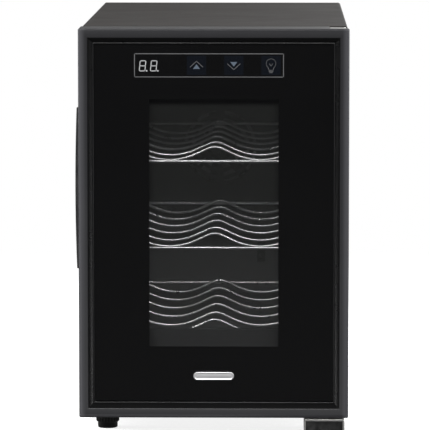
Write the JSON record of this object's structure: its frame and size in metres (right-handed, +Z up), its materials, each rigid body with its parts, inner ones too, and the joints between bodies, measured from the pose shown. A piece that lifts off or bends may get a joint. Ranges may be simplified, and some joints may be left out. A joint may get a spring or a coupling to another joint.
{
  "type": "wine cooler",
  "caption": "Narrow thermoelectric wine cooler: black-framed glass door hinged at the right, wave-wire racks, touch controls behind the glass, levelling feet and a vented back.",
  "frame": {"origin": "on the floor, in the middle of the door's width and of the whole depth; the side handle stands 2.8 mm proud on one side only, so the bounding box's middle is 1.4 mm from it", "axes": "+Z up, the door faces -Y, +X to the right of someone who faces the door (hinge side)"},
  "size_m": [0.2548, 0.511, 0.3832],
  "materials": {
    "wrap_sheet": "matte",
    "black_sheet": "satin",
    "plain_sheet": "satin",
    "plated_steel": "satin",
    "frame_plastic": "satin",
    "liner_plastic": "satin",
    "foam": "matte",
    "rack_wire": "polished",
    "sink_metal": "satin",
    "peltier": "matte",
    "tinted_glass": "polished",
    "clear_glass": "polished",
    "spacer_metal": "satin",
    "bead_trim": "gloss",
    "gasket": "matte",
    "circuit_board": "gloss",
    "display": "gloss",
    "touch_foam": "matte",
    "emblem_metal": "satin",
    "bush_plastic": "satin",
    "foot_plastic": "satin",
    "nut_metal": "satin",
    "fan_plastic": "satin",
    "lamp_plastic": "satin",
    "gland_rubber": "matte",
    "screw_metal": "satin"
  },
  "bodies": {
    "cabinet": {"outer_wrap": "wrap_sheet", "base_pan": "black_sheet", "back_panel": "plain_sheet", "rear_cover": "black_sheet", "mouth_frame": "frame_plastic", "inner_liner": "liner_plastic", "insulation_foam": "foam", "rack_lower": "rack_wire", "duct_cover": "liner_plastic", "cold_sink": "sink_metal", "inner_fan_frame": "fan_plastic", "cold_block": "sink_metal", "peltier_module": "peltier", "hot_sink": "sink_metal", "outer_fan_frame": "fan_plastic", "fan_guard": "rack_wire", "power_tray": "fan_plastic", "power_board": "circuit_board", "cord_gland": "gland_rubber", "lamp_board": "circuit_board", "lamp_lens": "lamp_plastic", "temperature_sensor": "fan_plastic", "top_hinge_plate": "plated_steel", "top_hinge_pin": "plated_steel", "lower_hinge_bracket": "plated_steel", "lower_hinge_pin": "plated_steel", "hinge_block": "foot_plastic", "hinge_screws": "screw_metal", "rear_cover_screws": "screw_metal", "sink_bolts": "screw_metal", "fan_screws": "screw_metal", "foot_nuts": "nut_metal", "rear_feet": "foot_plastic", "wall_spacers": "foot_plastic"},
    "door": {"door_frame": "frame_plastic", "door_handle": "frame_plastic", "glass_bead": "bead_trim", "outer_glass": "tinted_glass", "glass_spacer": "spacer_metal", "inner_glass": "clear_glass", "door_back_panel": "liner_plastic", "door_foam": "foam", "door_gasket": "gasket", "display_board": "circuit_board", "display_module": "display", "touch_pads": "touch_foam", "emblem": "emblem_metal", "top_hinge_bush": "bush_plastic", "lower_hinge_bush": "bush_plastic"},
    "upper_rack": {"rack_upper": "rack_wire"},
    "middle_rack": {"rack_middle": "rack_wire"},
    "inner_rotor": {"inner_fan_rotor": "fan_plastic"},
    "outer_rotor": {"outer_fan_rotor": "fan_plastic"},
    "left_foot": {"foot_front_left": "foot_plastic"},
    "right_foot": {"foot_front_right": "foot_plastic"}
  },
  "joints": [
    {"name": "door_hinge", "type": "hinge", "parent": "cabinet", "child": "door", "pos_m": [0.115, -0.235, 0.2], "axis": [0, 0, 1], "range_deg": [0, 110]},
    {"name": "rack_upper_slide", "type": "slide", "parent": "cabinet", "child": "upper_rack", "axis": [0, -1, 0], "range_m": [0, 0.06]},
    {"name": "rack_middle_slide", "type": "slide", "parent": "cabinet", "child": "middle_rack", "axis": [0, -1, 0], "range_m": [0, 0.06]},
    {"name": "inner_fan_spin", "type": "hinge", "parent": "cabinet", "child": "inner_rotor", "pos_m": [0, 0.138, 0.24], "axis": [0, 1, 0], "continuous": true},
    {"name": "outer_fan_spin", "type": "hinge", "parent": "cabinet", "child": "outer_rotor", "pos_m": [0, 0.235, 0.24], "axis": [0, 1, 0], "continuous": true},
    {"name": "foot_left_screw", "type": "slide", "parent": "cabinet", "child": "left_foot", "axis": [0, 0, -1], "range_m": [0, 0.006]},
    {"name": "foot_right_screw", "type": "slide", "parent": "cabinet", "child": "right_foot", "axis": [0, 0, -1], "range_m": [0, 0.006]}
  ],
  "couplings": [
    {"joint": "rack_upper_slide", "follows": "door_hinge", "m_per_rad": 0.03125},
    {"joint": "rack_middle_slide", "follows": "door_hinge", "m_per_rad": 0.03125}
  ]
}
